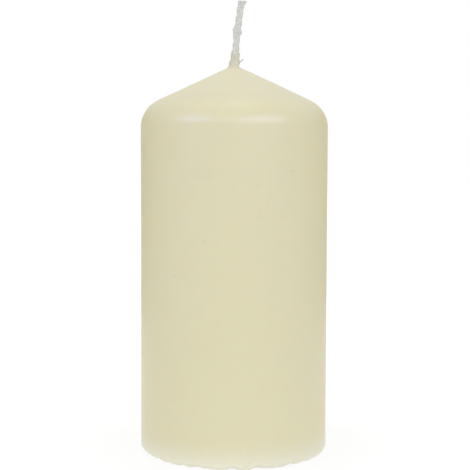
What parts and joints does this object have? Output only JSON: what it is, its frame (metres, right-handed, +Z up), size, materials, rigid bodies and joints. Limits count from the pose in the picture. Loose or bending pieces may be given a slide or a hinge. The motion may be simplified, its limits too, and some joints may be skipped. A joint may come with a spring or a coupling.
{
  "type": "pillar candle",
  "caption": "Straight round wax pillar candle with a soft shoulder, a low cone top, a crimped base rim and a plaited cotton wick.",
  "frame": {"origin": "middle of the base, on the surface that the candle stands on", "axes": "+Z up along the candle, -Y towards the front of the picture, +X to its right, where the wick leans"},
  "size_m": [0.058, 0.058, 0.1401],
  "materials": {
    "candle_wax": "smooth ivory candle wax with a soft sheen, slightly translucent",
    "wick_cotton": "plaited unbleached cotton, dry at the tip and soaked with wax at its foot"
  },
  "bodies": {
    "root": {"wax_body": "candle_wax", "wick": "wick_cotton"}
  },
  "joints": []
}
